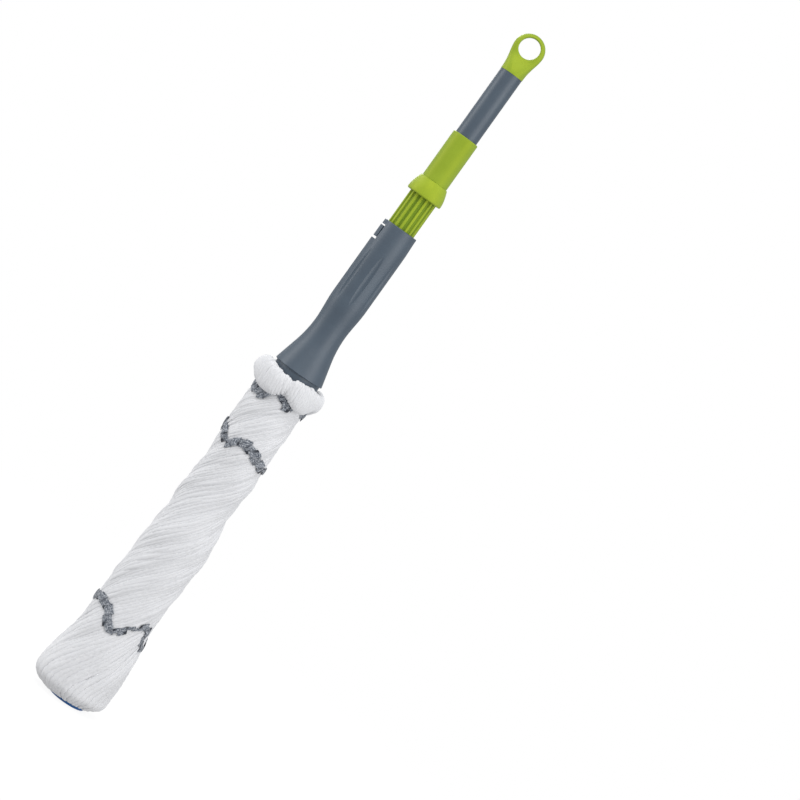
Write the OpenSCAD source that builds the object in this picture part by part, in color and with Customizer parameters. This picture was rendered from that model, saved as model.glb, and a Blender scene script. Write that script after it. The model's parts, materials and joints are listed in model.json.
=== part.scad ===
// Twist mop with a telescopic pole, standing on its foot disc with the yarn wrung tight.
// +Z runs up the pole. The origin is the middle of the foot disc's underside. Millimetres.

/* [Pole] */
// Outside diameter of the lower, outer tube
lower_tube_d = 24; // [23:0.1:25]
// Outside diameter of the upper, inner tube
upper_tube_d = 22.2; // [21:0.1:22.4]
// Wall of both tubes
tube_wall = 0.6; // [0.5:0.1:0.7]
// Length of the upper tube
upper_tube_len = 620; // [600:5:620]
// Upper tube left showing when the pole is pushed in
tube_showing = 70; // [60:1:80]

/* [Hanging cap] */
// Diameter of the hanging hole
hang_hole_d = 20; // [16:0.5:22]
// Outside diameter of the ring round the hole
ring_d = 30; // [28:0.5:34]
// Height of the ring's middle above the tube's end
ring_rise = 26.5; // [25:0.5:32]
// Thickness of the flat ring
ring_thick = 9; // [8:0.5:12]
// Height of the hole's middle above the ring's middle
hole_lift = 1.4; // [0:0.1:2]

/* [Green collar] */
// Length of the plain sleeve
sleeve_len = 48.6; // [40:0.2:60]
// Outside diameter of the sleeve
sleeve_d = 26; // [25.8:0.1:27]
// Length of the bell below the sleeve
bell_len = 17.2; // [15:0.2:20]
// Widest diameter of the bell
bell_d = 35.5; // [33:0.5:38]
// Diameter over the ribs
rib_d = 27.5; // [27:0.1:27.6]
// How many ribs
rib_count = 15; // [12:1:16]
// Length of the ribbed barrel
rib_len = 128; // [100:1:130]
// Ribs left showing above the grip
rib_showing = 34.5; // [30:0.5:40]

/* [Grip] */
// Height of the grip's rim above the floor face
rim_z = 364.5; // [355:0.5:375]
// Length of the grip
grip_len = 158.8; // [155:0.2:165]
// Diameter of the barrel
barrel_d = 35.7; // [35:0.1:36.5]
// Diameter at the top edge
grip_top_d = 34.2; // [33.5:0.1:35]
// Diameter of the waist
waist_d = 32.1; // [31.6:0.1:33]
// Diameter of the rim
rim_d = 50.3; // [49:0.1:52]
// Wall of the bell mouth
bell_wall = 2; // [1.8:0.1:2.4]
// How many flutes
flute_count = 8; // [6:1:8]
// Length of a flute
flute_len = 56; // [50:1:57]
// Depth of a flute
flute_depth = 1; // [0.6:0.1:1.2]

/* [Yarn] */
// Diameter of the roll of folded yarn
roll_d = 72.6; // [68:0.2:78]
// Diameter of the wrung yarn near the grip
yarn_top_d = 54.5; // [50:0.5:60]
// Diameter of the wrung yarn lower down
yarn_mid_d = 60; // [55:0.5:66]
// Diameter of the bulge at the foot
yarn_foot_d = 75; // [70:0.5:80]
// Thickness of the grey tapes
tape_thick = 1.1; // [0.8:0.1:1.5]
// Height of the middle tape's lower edge
tape_middle_z = 271; // [265:1:275]
// Height that the middle tape's zig-zag takes up
tape_middle_w = 24; // [20:1:28]
// Height of the lower tape's lower edge
tape_lower_z = 76; // [72:1:80]
// Height that the lower tape's zig-zag takes up
tape_lower_w = 27; // [22:1:30]

/* [Foot] */
// Diameter of the foot disc
disc_d = 38; // [34:0.5:44]
// Thickness of the foot disc
disc_thick = 4; // [4:0.2:5]

/* [Hidden] */

$fn = 96;
LIME = "#a1b83e";
SLATE = "#626e7b";
STEEL = "#b4b9be";
NYLON = "#d8d8d2";
YARN = "#ececee";
TAPE = "#80858d";
BLUE = "#0c3c74";

eps = 0.01;            // overlap that makes a cut run clean through
slide_gap = 0.3;       // radial room between tubes that slide in each other
fit_gap = 0.1;         // radial room of the guide ring on the tube and in the grip
soft_gap = 0.6;        // room round the tube for what the yarn carries

lower_r = lower_tube_d / 2;
lower_bore_r = lower_r - tube_wall;
upper_r = upper_tube_d / 2;
upper_bore_r = upper_r - tube_wall;
sleeve_r = sleeve_d / 2;
rib_r = rib_d / 2;

// Main heights, from the floor face up
grip_top_z = rim_z + grip_len;
flare_z = grip_top_z + rib_showing;
seam_z = flare_z + bell_len;
sleeve_top_z = seam_z + sleeve_len;
lower_top_z = seam_z + sleeve_len / 2;
tube_end_z = sleeve_top_z + tube_showing;
tube_foot_z = tube_end_z - upper_tube_len;
rib_foot_z = flare_z - rib_len;

// Points of an arc about [cx, cy] from angle a0 to a1
function arc(cx, cy, r, a0, a1, n = 6) =
    [for (i = [0:n]) let (a = a0 + (a1 - a0) * i / n) [cx + r * cos(a), cy + r * sin(a)]];

// Goes from 0 to 1 with no corner at either end
function ease(t) = t * t * (3 - 2 * t);

// Outlines are lists of [radius, height]
module turned(outline) {
    rotate_extrude() polygon(outline);
}

module rod(r, z0, z1) {
    translate([0, 0, z0]) cylinder(r = r, h = z1 - z0);
}

module ring(r_in, r_out, z0, z1) {
    difference() {
        rod(r_out, z0, z1);
        rod(r_in, z0 - eps, z1 + eps);
    }
}

// ---- Pole: lower tube, sleeve and ratchet collar ----

pin_r = 1.2;
pin_z = flare_z + 9;
pin_out_r = 16;        // the pin's outer end, just under the bell's surface

// Radial hole or pin on the far side of the pole
module radial_pin(r, from_r, to_r) {
    translate([0, 0, pin_z])
        rotate([-90, 0, 0])
            rod(r, from_r, to_r);
}

module lower_tube() {
    color(STEEL)
        difference() {
            ring(lower_bore_r, lower_r, lower_foot_z, lower_top_z);
            radial_pin(pin_r, lower_bore_r - 1, lower_r + 1);
        }
}

// Sits on the lower tube's end and guides the upper tube
module tube_sleeve() {
    edge = 1;
    guide_r = upper_r + slide_gap;
    color(LIME)
        turned(concat(
            [[lower_r, seam_z], [sleeve_r, seam_z]],
            arc(sleeve_r - edge, sleeve_top_z - edge, edge, 0, 90),
            [[guide_r, sleeve_top_z], [guide_r, lower_top_z], [lower_r, lower_top_z]]
        ));
}

bead_r = 1.15;         // each rib is a round bead along the barrel
bead_turn = -92;       // turns the first rib just left of the front

// Bell and ribbed barrel in one moulding
module ratchet_collar() {
    bell_r = bell_d / 2;
    top_r = sleeve_r + 0.9;
    root_r = lower_r + 0.75;
    edge = 1.4;
    steps = 10;
    shoulder = [for (i = [0:steps]) let (t = i / steps)
        [top_r + (bell_r - top_r) * sin(90 * t), seam_z - (bell_len - edge) * t]];
    color(LIME)
        difference() {
            union() {
                turned(concat(
                    [[lower_r, rib_foot_z], [root_r, rib_foot_z], [root_r, flare_z]],
                    arc(bell_r - edge, flare_z + edge, edge, -90, 0),
                    [for (i = [steps - 1:-1:0]) shoulder[i]],
                    [[lower_r, seam_z]]
                ));
                difference() {
                    for (i = [0:rib_count - 1])
                        rotate(360 * i / rib_count + bead_turn)
                            translate([rib_r - bead_r, 0, 0])
                                rod(bead_r, rib_foot_z + 0.6, flare_z + 1);
                    rod(lower_r + 0.35, rib_foot_z, flare_z + 2);
                }
            }
            radial_pin(pin_r, lower_r - 1, pin_out_r + 3);
        }
}

module collar_pin() {
    color(STEEL) radial_pin(pin_r, lower_bore_r + 0.1, pin_out_r);
}

// ---- Pole: foot ----

clamp_gap = 4;         // yarn squeezed between disc and plate
plate_r = 17;
plate_thick = 3;
plate_z = disc_thick + clamp_gap;
plug_z = plate_z + plate_thick;
plug_r = 15;
plug_flange = 4;
plug_reach = 33.5;     // its top is where the lock screw's head stops
lower_foot_z = plug_z + plug_flange;
plug_top_z = lower_foot_z + plug_reach;
boss_r = 7;            // raised middle of the disc, which spaces the plate
screw_r = 2.5;
screw_len = 26;
head_r = 4.5;
head_tall = 2.2;
washer_r = 6.4;
washer_thick = 1;
recess_r = 7.5;
recess_roof = 3.4;     // height of the recess's roof above the floor face

module foot_disc() {
    r = disc_d / 2;
    edge = 1.2;
    color(BLUE)
        difference() {
            turned(concat(
                [[0, 0]],
                arc(r - edge, edge, edge, -90, 0),
                [[r, disc_thick], [recess_r + 2, disc_thick], [boss_r, plate_z], [0, plate_z]]
            ));
            rod(recess_r, -eps, recess_roof);
            rod(screw_r, 0, plate_z + 1);
        }
}

module foot_clamp_plate() {
    color(NYLON) ring(screw_r, plate_r, plate_z, plug_z);
}

module foot_plug() {
    cap_z = plug_z + screw_len;
    color(NYLON)
        difference() {
            turned([
                [0, plug_z], [plug_r, plug_z], [plug_r, lower_foot_z], [lower_bore_r, lower_foot_z],
                [lower_bore_r, plug_top_z - 1], [lower_bore_r - 1, plug_top_z], [0, plug_top_z]
            ]);
            rod(screw_r, plug_z - 1, cap_z);
        }
}

module foot_washer() {
    color(STEEL) ring(screw_r, washer_r, recess_roof - washer_thick, recess_roof);
}

// Pan head with a cross recess, driven up from below
module foot_screw() {
    under_z = recess_roof - washer_thick;
    color(STEEL)
        difference() {
            union() {
                rod(screw_r, under_z, plug_z + screw_len - 2);
                rod(head_r, under_z - head_tall, under_z);
            }
            for (a = [0, 90])
                rotate(a)
                    translate([-2.4, -0.5, under_z - head_tall - eps])
                        cube([4.8, 1, 1.2]);
        }
}

// ---- Grip ----

grip_top_r = grip_top_d / 2;
barrel_r = barrel_d / 2;
waist_r = waist_d / 2;
rim_r = rim_d / 2;
bore_r = rib_r + slide_gap + 0.2;

// Stations up from the rim: end of the straight cone, waist, barrel, taper
cone_h = 23.5;
waist_h = 49.5;
barrel_h = 78.5;
taper_h = 136.5;
cone_slope = (rim_r - waist_r) / ((waist_h - cone_h) / 2 + cone_h);

// Outer radius of the grip at height h above its rim
function grip_r(h) =
    h < cone_h ? rim_r - cone_slope * h :
    h < waist_h ? waist_r + cone_slope * pow(waist_h - h, 2) / (waist_h - cone_h) / 2 :
    h < barrel_h ? waist_r + (barrel_r - waist_r) * ease((h - waist_h) / (barrel_h - waist_h)) :
    h < taper_h ? barrel_r :
    barrel_r + (grip_top_r - barrel_r) * ease((h - taper_h) / (grip_len - taper_h)) ;

bearing_r = 15.6;
bearing_wall = 1.6;
bearing_lo = 7.5;
bearing_hi = 27.5;
end_room = 0.4;

// Window in the grip's wall for the pawl
pawl_root_a = 141;
pawl_tip_a = 216;
pawl_lo = grip_top_z - 18.3;
pawl_hi = grip_top_z - 6.3;
window_lo = pawl_lo - 2.2;
window_hi = pawl_hi + 1.35;
window_tip_a = pawl_tip_a + 4.5;
window_root_a = pawl_root_a - 0.9;

// Part of a ring between two angles
module sector(r_in, r_out, a0, a1, z0, z1) {
    rotate(a0)
        rotate_extrude(angle = a1 - a0)
            translate([r_in, z0])
                square([r_out - r_in, z1 - z0]);
}

// One flute is a long, shallow bite out of the barrel by a large torus
module flute(a) {
    groove_r = 5;
    bend_r = pow(flute_len / 2, 2) / (2 * flute_depth) - groove_r;
    middle_h = (barrel_h + taper_h) / 2;
    rotate(a)
        translate([barrel_r - flute_depth + groove_r + bend_r, 0, rim_z + middle_h - 5])
            rotate([90, 0, 0])
                rotate(175)
                    rotate_extrude(angle = 10, $fn = 240)
                        translate([bend_r, 0])
                            rotate(90) circle(r = groove_r, $fn = 48);
}

module grip_housing() {
    edge = 0.7;
    lip = 0.5;
    join_r = bearing_r + bearing_wall;
    flare = [for (i = [0:8]) cone_h + (waist_h - cone_h) * i / 8];
    swell = [for (i = [1:8]) waist_h + (barrel_h - waist_h) * i / 8];
    taper = [for (i = [0:4]) taper_h + (grip_len - taper_h - edge - 0.1) * i / 4];
    outer = [for (h = concat([lip], flare, swell, taper)) [grip_r(h), rim_z + h]];
    mouth = [for (h = [22:-5:0]) [grip_r(h) - bell_wall, rim_z + h]];
    color(SLATE)
        difference() {
            turned(concat(
                [[rim_r - bell_wall, rim_z], [rim_r - lip, rim_z]],
                outer,
                arc(grip_top_r - edge, grip_top_z - edge, edge, 0, 90),
                [[bore_r, grip_top_z], [bore_r, rim_z + bearing_hi], [bearing_r, rim_z + bearing_hi]],
                [[bearing_r, rim_z + bearing_lo], [join_r, rim_z + bearing_lo], [join_r, rim_z + cone_h]],
                mouth
            ));
            sector(bore_r - 1, barrel_r + 1, window_root_a, window_tip_a, window_lo, window_hi);
            for (i = [0:flute_count - 1])
                flute(360 * i / flute_count + 278);
        }
}

// Springy tab in the window. Its tooth rides over the ribs
module ratchet_pawl() {
    r_out = grip_r(pawl_lo - rim_z) - 0.25;
    r_in = r_out - 2.2;
    tooth_a = 9;
    color(SLATE)
        union() {
            sector(r_in, r_out, pawl_root_a, pawl_tip_a, pawl_lo, pawl_hi);
            sector(bore_r, r_in + 0.2, pawl_tip_a - tooth_a, pawl_tip_a, pawl_lo + 1, pawl_hi - 1);
        }
}

module guide_ring() {
    color(NYLON)
        ring(lower_r + fit_gap, bearing_r - fit_gap, rim_z + bearing_lo, rim_z + bearing_hi - end_room);
}

// ---- Yarn clamp under the rim ----

collar_r = 23.2;
collar_lo = -7.5;      // all heights here are measured from the rim
clamp_r = 21;
clamp_lo = -21.5;
clamp_hi = -15.5;
hub_r = 16.9;
clamp_bore_r = lower_r + soft_gap;
screw_pitch_r = 14.8;
clamp_screw_r = 1.3;
clamp_head_r = 2.4;
clamp_head_tall = 2;
clamp_screw_top = 3;

module clamp_screw_places() {
    for (a = [90, 210, 330])
        rotate(a)
            translate([screw_pitch_r, 0, rim_z])
                children();
}

module yarn_collar() {
    spigot_r = 21.4;
    spigot_wall = 1.8;
    spigot_hi = 5.5;
    floor_h = -3.5;
    color(SLATE)
        difference() {
            turned([for (p = [
                [clamp_bore_r, collar_lo], [collar_r, collar_lo], [collar_r, 0], [spigot_r, 0],
                [spigot_r, spigot_hi], [spigot_r - spigot_wall, spigot_hi],
                [spigot_r - spigot_wall, floor_h], [hub_r, floor_h],
                [hub_r, bearing_lo - end_room], [clamp_bore_r, bearing_lo - end_room]
            ]) [p[0], p[1] + rim_z]]);
            clamp_screw_places() rod(clamp_screw_r, collar_lo - 1, clamp_screw_top + 1);
        }
}

module yarn_clamp_ring() {
    color(NYLON)
        difference() {
            union() {
                ring(clamp_bore_r, clamp_r, rim_z + clamp_lo, rim_z + clamp_hi);
                ring(clamp_bore_r, hub_r, rim_z + clamp_hi - 1, rim_z + collar_lo);
            }
            clamp_screw_places() rod(clamp_screw_r, clamp_lo - 1, collar_lo + 1);
        }
}

module clamp_screws() {
    color(STEEL)
        clamp_screw_places() {
            rod(clamp_screw_r, clamp_lo, clamp_screw_top);
            rod(clamp_head_r, clamp_lo - clamp_head_tall, clamp_lo);
        }
}

// ---- Yarn: plain solids of the right size ----

roll_lo = -29.5;
roll_mid = -13.5;
roll_hi = -2;

// Upper ends of the yarn, clamped under the collar and folded out and down
module yarn_roll() {
    r = roll_d / 2;
    under_r = yarn_top_d / 2 + 1.4;
    crown_r = collar_r + 0.4;
    color(YARN)
        turned([for (p = concat(
            [[hub_r + 0.3, clamp_hi + 0.3], [clamp_r + 0.3, clamp_hi + 0.3], [clamp_r + 0.3, clamp_lo]],
            [[under_r, roll_lo + 1], [under_r + 2, roll_lo]],
            [for (i = [1:8]) let (a = -90 + 22.5 * i)
                [r - 6 + 6 * cos(a), roll_mid + (a < 0 ? roll_mid - roll_lo : roll_hi - roll_mid) * sin(a)]],
            [[crown_r, roll_hi], [crown_r, collar_lo - 0.3], [hub_r + 0.3, collar_lo - 0.3]]
        )) [p[0], p[1] + rim_z]]);
}

// Heights where the wrung yarn changes width
bulge_z = 20;
ankle_z = 96;
calf_z = 165;
thigh_z = 228;
neck_z = rim_z - 40;

// Outer radius of the wrung yarn at height z, above the bulge's rounded corner
function yarn_r(z) =
    let (foot_r = yarn_foot_d / 2, mid_r = yarn_mid_d / 2, top_r = yarn_top_d / 2)
    z < bulge_z ? foot_r :
    z < ankle_z ? foot_r + (mid_r - foot_r) * ease((z - bulge_z) / (ankle_z - bulge_z)) :
    z < calf_z ? mid_r :
    z < thigh_z ? mid_r + (top_r - mid_r) * ease((z - calf_z) / (thigh_z - calf_z)) : top_r;

// Wrung yarn between the foot and the clamp ring
module yarn_strands() {
    corner = 13.5;
    lift = 1.2;
    room = 0.4;
    inner_r = recess_r + 3;
    disc_r = disc_d / 2 + room;
    shoulder_z = rim_z - 26;
    slope = [for (i = [0:8]) bulge_z + (ankle_z - bulge_z) * i / 8];
    taper = [for (i = [0:5]) calf_z + (thigh_z - calf_z) * i / 5];
    color(YARN)
        turned(concat(
            [[inner_r, disc_thick + room / 2], [disc_r, disc_thick + room / 2], [disc_r, lift]],
            arc(yarn_foot_d / 2 - corner, lift + corner, corner, -90, 0),
            [for (z = concat(slope, taper)) [yarn_r(z), z]],
            [[yarn_r(neck_z), neck_z], [yarn_r(neck_z) - 1.5, neck_z + 7], [clamp_r - 1, shoulder_z]],
            [[clamp_bore_r, shoulder_z], [clamp_bore_r, lower_foot_z + 2]],
            [[plug_r + room, lower_foot_z + 2], [plug_r + room, plug_z + room]],
            [[plate_r + room, plug_z + room], [plate_r + room, plate_z - room / 2]],
            [[inner_r, plate_z - room / 2]]
        ));
}

// Band from z0 to z1 that follows the yarn, gap clear of it
module tape(gap, z0, z1) {
    levels = [for (i = [0:4]) z0 + (z1 - z0) * i / 4];
    color(TAPE)
        turned(concat(
            [for (i = [0:4]) [yarn_r(levels[i]) + gap + tape_thick, levels[i]]],
            [for (i = [4:-1:0]) [yarn_r(levels[i]) + gap, levels[i]]]
        ));
}

module tape_upper() {
    tape(soft_gap, rim_z - 38.5, rim_z + roll_lo - 0.2);
}

module tape_middle() {
    tape(0.2, tape_middle_z, tape_middle_z + tape_middle_w);
}

module tape_lower() {
    tape(0.2, tape_lower_z, tape_lower_z + tape_lower_w);
}

// ---- Upper tube, cap and twist lock ----

module upper_tube() {
    color(SLATE) ring(upper_bore_r, upper_r, tube_foot_z, tube_end_z);
}

ring_z = tube_end_z + ring_rise;
hole_z = ring_z + hole_lift;
neck_r = upper_r + 0.3;
neck_mid_h = 8;
neck_top_h = 15.5;
stem_len = 20;

// One thin cross-section of the neck, half_w by half_d, at height h above the tube's end
module neck_slice(half_w, half_d, h) {
    translate([0, 0, tube_end_z + h])
        scale([half_w, half_d, 1])
            cylinder(r = 1, h = 0.5, $fn = 40);
}

// Flat ring with rounded edges, before its hole is cut
module ring_disc() {
    edge = 2.5;
    half = ring_thick / 2;
    r = ring_d / 2;
    translate([0, 0, ring_z])
        rotate([90, 0, 0])
            rotate_extrude($fn = 48)
                polygon(concat(
                    [[0, -half]],
                    arc(r - edge, edge - half, edge, -90, 0),
                    arc(r - edge, half - edge, edge, 0, 90),
                    [[0, half]]
                ));
}

module hanging_cap() {
    half = ring_thick / 2;
    color(LIME)
        difference() {
            union() {
                rod(upper_bore_r, tube_end_z - stem_len, tube_end_z + 1);
                hull() {
                    neck_slice(neck_r, neck_r, 0);
                    neck_slice(neck_r + 0.4, neck_r - 2.4, neck_mid_h);
                }
                hull() {
                    neck_slice(neck_r + 0.4, neck_r - 2.4, neck_mid_h);
                    neck_slice(neck_r + 1.8, half, neck_top_h);
                }
                hull() {
                    neck_slice(neck_r + 1.8, half, neck_top_h);
                    ring_disc();
                }
            }
            translate([0, ring_thick, hole_z])
                rotate([90, 0, 0])
                    cylinder(r = hang_hole_d / 2, h = 2 * ring_thick);
            translate([0, 0, tube_end_z - stem_len - eps])
                cylinder(r = upper_bore_r - 1.8, h = stem_len - 3);
        }
}

cam_len = 18;
cam_shift = 0.8;       // how far the pin is off the pole's axis
cam_r = lower_bore_r - slide_gap;
cam_bore_r = 6;         // leaves the pin room to swing round
cam_pin_r = 5;
cam_slit = 2;
plug_collar = 3;
plug_stem = 30;
lock_screw_r = 1.8;
lock_screw_deep = 14;
lock_head_r = 4;
lock_head_tall = 2.6;
cam_top_z = tube_foot_z - plug_collar - 0.2;
cam_foot_z = cam_top_z - cam_len;
lock_end_z = cam_foot_z - 0.2;

module lock_plug() {
    color(NYLON)
        difference() {
            union() {
                rod(upper_bore_r, tube_foot_z, tube_foot_z + plug_stem);
                rod(upper_r, tube_foot_z - plug_collar, tube_foot_z);
                translate([cam_shift, 0, 0]) rod(cam_pin_r, lock_end_z, tube_foot_z);
            }
            translate([cam_shift, 0, 0]) rod(lock_screw_r, lock_end_z - 1, lock_end_z + lock_screw_deep);
        }
}

// Split ring on an eccentric pin: a turn of the pole pushes it against the tube
module lock_cam() {
    color(NYLON)
        difference() {
            rod(cam_r, cam_foot_z, cam_top_z);
            rod(cam_bore_r, cam_foot_z - 1, cam_top_z + 1);
            translate([-cam_r - 1, -cam_slit / 2, cam_foot_z - 1]) cube([cam_r, cam_slit, cam_len + 2]);
        }
}

module lock_washer() {
    color(STEEL)
        translate([cam_shift, 0, 0])
            ring(lock_screw_r, cam_pin_r + 2.5, lock_end_z - washer_thick, lock_end_z);
}

module lock_screw() {
    head_z = lock_end_z - washer_thick;
    color(STEEL)
        translate([cam_shift, 0, 0]) {
            rod(lock_screw_r, head_z, lock_end_z + lock_screw_deep - 1);
            rod(lock_head_r, head_z - lock_head_tall, head_z);
        }
}

lower_tube();
tube_sleeve();
ratchet_collar();
collar_pin();
foot_plug();
foot_disc();
foot_clamp_plate();
foot_washer();
foot_screw();
yarn_strands();
tape_middle();
tape_lower();
guide_ring();
grip_housing();
yarn_collar();
yarn_clamp_ring();
clamp_screws();
yarn_roll();
tape_upper();
ratchet_pawl();
lock_cam();
upper_tube();
hanging_cap();
lock_plug();
lock_washer();
lock_screw();
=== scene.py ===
import json
import math

import bmesh
import bpy
import numpy as np
from mathutils import Matrix, Vector


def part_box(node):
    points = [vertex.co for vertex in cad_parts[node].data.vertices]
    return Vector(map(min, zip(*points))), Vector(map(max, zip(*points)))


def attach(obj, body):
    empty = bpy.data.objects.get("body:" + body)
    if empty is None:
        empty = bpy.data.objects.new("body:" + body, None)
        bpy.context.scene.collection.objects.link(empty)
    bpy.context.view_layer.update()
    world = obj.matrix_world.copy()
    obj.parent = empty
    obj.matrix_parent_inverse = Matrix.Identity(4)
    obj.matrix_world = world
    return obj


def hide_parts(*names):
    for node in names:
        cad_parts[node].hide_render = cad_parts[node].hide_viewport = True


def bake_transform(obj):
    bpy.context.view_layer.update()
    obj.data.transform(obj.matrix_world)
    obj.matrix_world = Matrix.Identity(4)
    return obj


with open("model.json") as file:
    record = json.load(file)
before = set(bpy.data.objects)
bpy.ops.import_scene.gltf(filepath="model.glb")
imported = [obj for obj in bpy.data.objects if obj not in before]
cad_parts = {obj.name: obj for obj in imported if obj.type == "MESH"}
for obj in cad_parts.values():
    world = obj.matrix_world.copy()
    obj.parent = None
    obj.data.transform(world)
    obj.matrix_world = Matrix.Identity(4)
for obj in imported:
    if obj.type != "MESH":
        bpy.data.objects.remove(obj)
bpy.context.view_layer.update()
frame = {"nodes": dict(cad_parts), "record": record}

MM = 0.001
TAU = 2 * math.pi
TURN_96 = np.arange(96) * TAU / 96


def low(node):
    """Lowest corner of a CAD node, in millimetres."""
    return np.array(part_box(node)[0]) / MM


def high(node):
    """Highest corner of a CAD node, in millimetres."""
    return np.array(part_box(node)[1]) / MM


# ---- Camera ----

PICTURE_MIDDLE = Vector((0.0887, 0, 0.3977))
CAMERA_DISTANCE = 2.57
CAMERA_LENS = 128.27
CAMERA_HEIGHT = math.radians(2.6)
CAMERA_ROLL = math.radians(35.6)


def add_camera():
    """Looks along +Y, rolled so that the pole leans to the right."""
    back = Vector((0, -math.cos(CAMERA_HEIGHT), math.sin(CAMERA_HEIGHT)))
    level_up = Vector((0, math.sin(CAMERA_HEIGHT), math.cos(CAMERA_HEIGHT)))
    level_right = Vector((1, 0, 0))
    c, s = math.cos(CAMERA_ROLL), math.sin(CAMERA_ROLL)
    right = level_right * c + level_up * s
    up = level_up * c - level_right * s
    data = bpy.data.cameras.new("camera")
    data.sensor_width = 36
    data.lens = CAMERA_LENS
    camera = bpy.data.objects.new("camera", data)
    camera.matrix_world = Matrix.Translation(PICTURE_MIDDLE + back * CAMERA_DISTANCE) @ Matrix(
        (right, up, back)).transposed().to_4x4()
    bpy.context.scene.collection.objects.link(camera)
    bpy.context.scene.camera = camera


# ---- Materials ----


def linear(srgb):
    """One colour from 0-255 sRGB to linear RGBA."""
    out = []
    for value in srgb:
        v = value / 255
        out.append(v / 12.92 if v <= 0.04045 else ((v + 0.055) / 1.055) ** 2.4)
    return (*out, 1)


class Nodes:
    """Short calls for building one material's node tree."""

    def __init__(self, name):
        self.material = bpy.data.materials.new(name)
        self.material.use_nodes = True
        self.tree = self.material.node_tree
        self.shader = self.tree.nodes["Principled BSDF"]

    def add(self, kind, **settings):
        node = self.tree.nodes.new("ShaderNode" + kind)
        for key, value in settings.items():
            setattr(node, key, value)
        return node

    def link(self, source, target):
        self.tree.links.new(source, target)

    def set(self, **values):
        """Sets the shader's own sockets: names with _ for spaces."""
        for key, value in values.items():
            self.shader.inputs[key.replace("_", " ")].default_value = value

    def place(self, stretch=(1, 1, 1), source="Object"):
        """Object coordinates in metres, or the mesh's own UV, stretched."""
        at = self.add("TexCoord")
        mapping = self.add("Mapping")
        mapping.inputs["Scale"].default_value = stretch
        self.link(at.outputs[source], mapping.inputs["Vector"])
        return mapping.outputs["Vector"]

    def noise(self, scale, detail=4, rough=0.5, where=None):
        node = self.add("TexNoise")
        node.inputs["Scale"].default_value = scale
        node.inputs["Detail"].default_value = detail
        node.inputs["Roughness"].default_value = rough
        self.link(where or self.place(), node.inputs["Vector"])
        return node.outputs["Fac"]

    def ramp(self, source, stops):
        """Colours along source: stops are (position, colour)."""
        node = self.add("ValToRGB")
        band = node.color_ramp
        while len(band.elements) < len(stops):
            band.elements.new(0.5)
        for element, (position, colour) in zip(band.elements, stops):
            element.position = position
            element.color = colour
        self.link(source, node.inputs["Fac"])
        return node.outputs["Color"]

    def span(self, source, low_value, high_value, start=0.0, end=1.0):
        """source from start..end to low_value..high_value."""
        node = self.add("MapRange")
        node.inputs["From Min"].default_value = start
        node.inputs["From Max"].default_value = end
        node.inputs["To Min"].default_value = low_value
        node.inputs["To Max"].default_value = high_value
        self.link(source, node.inputs["Value"])
        return node.outputs["Result"]

    def math(self, operation, a, b):
        node = self.add("Math", operation=operation)
        for socket, value in zip(node.inputs, (a, b)):
            if isinstance(value, (int, float)):
                socket.default_value = value
            else:
                self.link(value, socket)
        return node.outputs["Value"]

    def mix(self, share, a, b, blend="MIX"):
        """Colour a to colour b by share. Each is a socket or a colour."""
        node = self.add("Mix", data_type="RGBA", blend_type=blend)
        for socket, value in ((node.inputs["Factor"], share), (node.inputs[6], a), (node.inputs[7], b)):
            if isinstance(value, (int, float, tuple)):
                socket.default_value = value
            else:
                self.link(value, socket)
        return node.outputs[2]

    def bump(self, height, strength, distance, after=None):
        node = self.add("Bump")
        node.inputs["Strength"].default_value = strength
        node.inputs["Distance"].default_value = distance
        self.link(height, node.inputs["Height"])
        if after:
            self.link(after, node.inputs["Normal"])
        return node.outputs["Normal"]

    def colour(self, socket):
        self.link(socket, self.shader.inputs["Base Color"])

    def rough(self, socket):
        self.link(socket, self.shader.inputs["Roughness"])

    def normal(self, socket):
        self.link(socket, self.shader.inputs["Normal"])


def moulded(name, dark, light, rough=(0.38, 0.5), grain=0.02 * MM, groove_shade=None, **shader):
    """Moulded plastic: soft blotches of colour, a fine spark-eroded grain and faint rub marks.
    The groove colour argument is painted shade, laid on where the mesh's point attribute of the same name
    says a point sits deep in a groove."""
    m = Nodes(name)
    blotch = m.noise(55, detail=5, rough=0.6)
    grain_height = m.noise(2600, detail=3, rough=0.7)
    rub = m.noise(1.0, detail=6, rough=0.75, where=m.place((420, 420, 70)))
    base = m.ramp(blotch, [(0.3, linear(dark)), (0.7, linear(light))])
    base = m.mix(m.span(grain_height, 0.0, 0.10), base, linear(light))
    if groove_shade:
        # Painted shade in the grooves: mixes towards the groove colour by how deep each point sits.
        depth = m.add("Attribute", attribute_name="groove_shade")
        base = m.mix(m.math("MULTIPLY", depth.outputs["Fac"], m.span(rub, 0.7, 1.0)), base, linear(groove_shade))
    m.colour(base)
    wear = m.math("ADD", m.math("MULTIPLY", rub, 0.6), m.math("MULTIPLY", blotch, 0.4))
    m.rough(m.span(wear, *rough, 0.3, 0.7))
    m.normal(m.bump(rub, 0.02, 0.05 * MM, after=m.bump(grain_height, 0.1, grain)))
    m.set(**shader)
    return m.material


def painted_steel(name, dark, light):
    """Powder-coated tube: faint orange peel and fine scuffs along its length."""
    m = Nodes(name)
    peel = m.noise(900, detail=2)
    scuff = m.noise(1.0, detail=5, rough=0.7, where=m.place((900, 900, 60)))
    blotch = m.noise(40, detail=4, rough=0.6)
    m.colour(m.ramp(blotch, [(0.3, linear(dark)), (0.7, linear(light))]))
    m.rough(m.span(scuff, 0.38, 0.5, 0.35, 0.65))
    m.normal(m.bump(scuff, 0.05, 0.03 * MM, after=m.bump(peel, 0.15, 0.02 * MM)))
    m.set(Specular_IOR_Level=0.8)
    return m.material


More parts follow.
